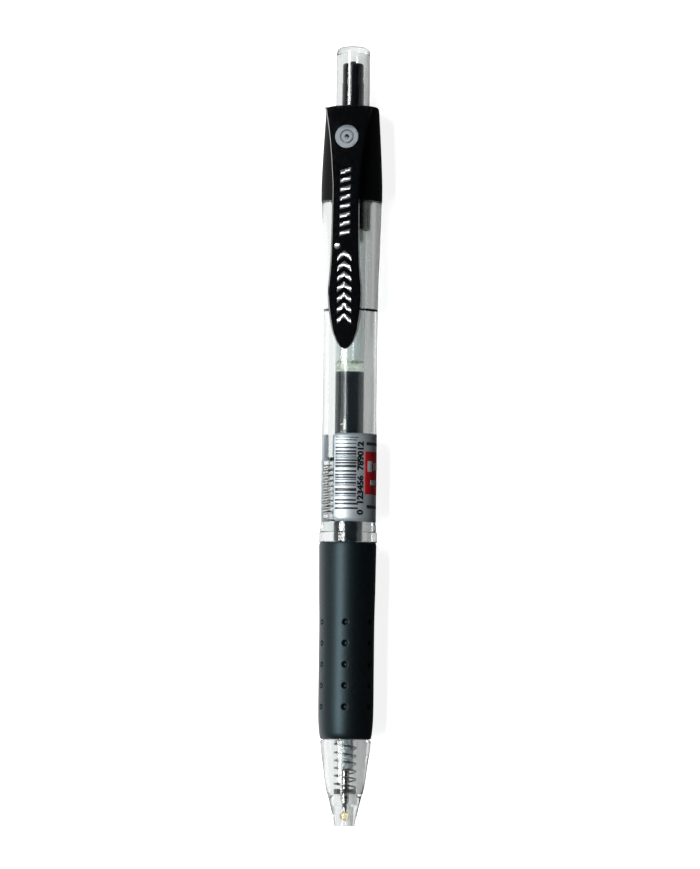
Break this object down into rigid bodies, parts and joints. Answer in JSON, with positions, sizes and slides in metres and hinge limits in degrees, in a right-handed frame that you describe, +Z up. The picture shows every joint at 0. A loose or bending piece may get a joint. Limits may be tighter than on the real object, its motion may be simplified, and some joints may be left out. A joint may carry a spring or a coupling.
{
  "type": "gel pen",
  "caption": "Retractable gel pen: clear barrel and nose, dimpled black rubber grip, glossy sprung clip, clear push button, film label and visible ink refill.",
  "frame": {"origin": "centre of the flat end face of the nose, on the pen's axis", "axes": "+X runs along the pen's axis from the nose to the push button; +Z is up, on the pocket clip's side, with the pen lying on its back; +Y completes a right-handed frame"},
  "size_m": [0.143, 0.0112, 0.013],
  "materials": {
    "clear_plastic": "clear polished plastic",
    "black_gloss": "black gloss moulding",
    "black_plastic": "black satin moulding",
    "grip_rubber": "soft matte black rubber",
    "label_film": "silver-grey printed film",
    "foil": "silver foil print",
    "spring_steel": "drawn spring wire",
    "refill_plastic": "translucent polypropylene",
    "ink": "black gel ink",
    "grease": "clear follower grease",
    "holder_plastic": "grey translucent plastic",
    "plug_plastic": "natural white plastic",
    "tip_metal": "turned nickel silver",
    "carbide": "polished carbide",
    "amber": "amber sealing bead"
  },
  "bodies": {
    "barrel": {"barrel": "clear_plastic", "clip_collar": "black_gloss", "cam_guide": "black_plastic", "barcode_label": "label_film"},
    "clip": {"pocket_clip": "black_gloss", "size_disc": "foil"},
    "front": {"front_section": "clear_plastic", "grip_sleeve": "grip_rubber", "return_spring": "spring_steel"},
    "button": {"knock_button": "clear_plastic", "knock_plunger": "black_plastic"},
    "refill": {"refill_tube": "refill_plastic", "ink_column": "ink", "ink_follower": "grease", "tail_plug": "plug_plastic", "tip_holder": "holder_plastic", "writing_tip": "tip_metal", "tip_seal": "amber"},
    "rotor": {"index_rotor": "black_plastic"},
    "ball": {"writing_ball": "carbide"}
  },
  "joints": [
    {"name": "knock_slide", "type": "slide", "parent": "barrel", "child": "button", "axis": [-1, 0, 0], "range_m": [0, 0.006], "stiffness_N_per_m": 300, "springref_m": -0.003},
    {"name": "refill_slide", "type": "slide", "parent": "barrel", "child": "refill", "axis": [-1, 0, 0], "range_m": [0, 0.006], "deforming": ["return_spring"]},
    {"name": "cam_turn", "type": "hinge", "parent": "refill", "child": "rotor", "pos_m": [0.1105, 0, 0], "axis": [1, 0, 0], "range_deg": [0, 45]},
    {"name": "clip_flex", "type": "hinge", "parent": "barrel", "child": "clip", "pos_m": [0.1306, 0, 0.00495], "axis": [0, 1, 0], "range_deg": [0, 4], "stiffness_Nm_per_rad": 0.8},
    {"name": "front_unscrew", "type": "hinge", "parent": "barrel", "child": "front", "pos_m": [0.0536, 0, 0], "axis": [-1, 0, 0], "range_deg": [0, 3600]},
    {"name": "ball_roll", "type": "hinge", "parent": "refill", "child": "ball", "pos_m": [0.00269, 0, 0], "axis": [0, 1, 0], "continuous": true}
  ],
  "couplings": [
    {"joint": "refill_slide", "follows": "knock_slide", "ratio": 1},
    {"joint": "cam_turn", "follows": "knock_slide", "rad_per_m": 130.8}
  ]
}
